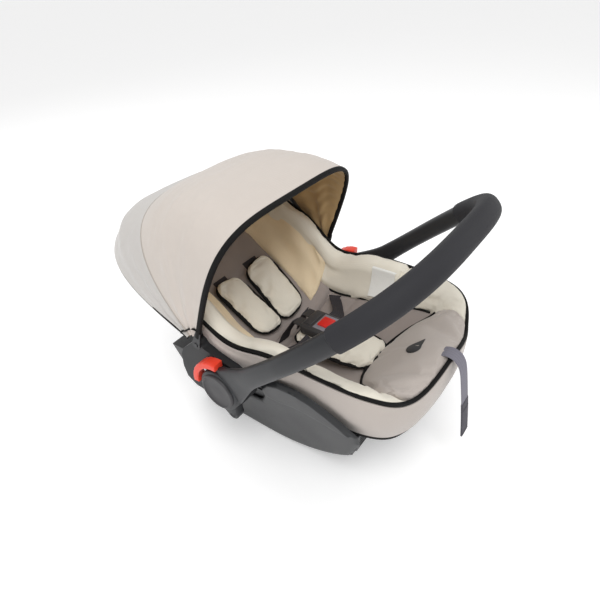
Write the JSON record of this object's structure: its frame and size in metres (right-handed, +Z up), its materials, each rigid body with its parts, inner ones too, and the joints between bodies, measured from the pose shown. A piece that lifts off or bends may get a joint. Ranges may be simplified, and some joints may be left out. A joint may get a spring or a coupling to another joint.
{
  "type": "infant car seat",
  "caption": "Infant car seat with a rocker base, a padded bucket seat, a folding fabric canopy, a swinging carry handle with side release buttons and a harness with a central buckle.",
  "frame": {"origin": "bottom centre of the overall box, on the floor, the free strap left out", "axes": "+Z up, -Y towards the foot end, +Y towards the head end, +X towards the child's left"},
  "size_m": [0.4526, 0.6821, 0.4828],
  "materials": {
    "moulding": "matte",
    "shell_plastic": "matte",
    "cap": "matte",
    "grip": "matte",
    "release": "gloss",
    "foam": "matte",
    "cloth_taupe": "matte",
    "cloth_grey": "matte",
    "cloth_cream": "matte",
    "canopy_cloth": "satin",
    "piping": "matte",
    "webbing": "matte",
    "strap": "matte",
    "buckle_red": "gloss",
    "label": "matte",
    "steel": "satin",
    "rubber": "matte"
  },
  "bodies": {
    "carrier": {"adjuster_strap": "strap", "back_panel": "cloth_grey", "base": "moulding", "bolster_left": "cloth_cream", "bolster_right": "cloth_cream", "buckle_body": "moulding", "canopy_pin_left": "steel", "canopy_pin_right": "steel", "canopy_rear_bow": "moulding", "canopy_rear_panel": "canopy_cloth", "crotch_pad": "cloth_cream", "crotch_strap": "webbing", "foam_liner": "foam", "foot_pad_left": "rubber", "foot_pad_right": "rubber", "foot_panel": "cloth_taupe", "head_panel": "cloth_taupe", "hip_strap_left": "webbing", "hip_strap_right": "webbing", "hub_bracket_left": "shell_plastic", "hub_bracket_right": "shell_plastic", "insert_pad": "cloth_taupe", "insert_wing_left": "cloth_cream", "insert_wing_right": "cloth_cream", "lock_gear_left": "moulding", "lock_gear_right": "moulding", "pivot_bolt_left": "steel", "pivot_bolt_right": "steel", "rim_piping": "piping", "seat_panel": "cloth_grey", "sewn_label": "label", "shell": "shell_plastic", "shoulder_pad_left": "cloth_cream", "shoulder_pad_right": "cloth_cream", "shoulder_strap_left": "webbing", "shoulder_strap_right": "webbing", "side_cover_left": "moulding", "side_cover_right": "moulding", "skirt": "cloth_taupe", "strap_guide": "moulding"},
    "handle": {"handle_frame": "moulding", "handle_grip": "grip", "hub_cap_left": "cap", "hub_cap_right": "cap", "release_spring_left": "steel", "release_spring_right": "steel"},
    "release_left": {"release_button_left": "release"},
    "release_right": {"release_button_right": "release"},
    "canopy": {"canopy_front_bow": "moulding", "canopy_front_panel": "canopy_cloth", "canopy_blade_left": "moulding", "canopy_blade_right": "moulding"},
    "buckle_press": {"buckle_button": "buckle_red"},
    "tongue_left": {"tongue_left": "steel"},
    "tongue_right": {"tongue_right": "steel"},
    "adjuster": {"adjuster_button": "rubber"}
  },
  "joints": [
    {"name": "handle_swing", "type": "hinge", "parent": "carrier", "child": "handle", "pos_m": [0, -0.012, 0.186], "axis": [-1, 0, 0], "range_deg": [0, 155]},
    {"name": "release_left_press", "type": "slide", "parent": "handle", "child": "release_left", "axis": [0, -0.6884, -0.7254], "range_m": [0, 0.004], "stiffness_N_per_m": 600, "deforming": ["release_spring_left"]},
    {"name": "release_right_press", "type": "slide", "parent": "handle", "child": "release_right", "axis": [0, -0.6884, -0.7254], "range_m": [0, 0.004], "stiffness_N_per_m": 600, "deforming": ["release_spring_right"]},
    {"name": "canopy_fold", "type": "hinge", "parent": "carrier", "child": "canopy", "pos_m": [0, 0.05, 0.242], "axis": [-1, 0, 0], "range_deg": [0, 43], "deforming": ["canopy_front_panel"]},
    {"name": "buckle_press", "type": "slide", "parent": "carrier", "child": "buckle_press", "axis": [0, 0, -1], "range_m": [0, 0.003], "stiffness_N_per_m": 600},
    {"name": "tongue_left_pull", "type": "slide", "parent": "carrier", "child": "tongue_left", "axis": [0, 1, 0], "range_m": [0, 0.014], "deforming": ["shoulder_strap_left"]},
    {"name": "tongue_right_pull", "type": "slide", "parent": "carrier", "child": "tongue_right", "axis": [0, 1, 0], "range_m": [0, 0.014], "deforming": ["shoulder_strap_right"]},
    {"name": "adjuster_press", "type": "slide", "parent": "carrier", "child": "adjuster", "axis": [0, 0, -1], "range_m": [0, 0.003], "stiffness_N_per_m": 500}
  ]
}
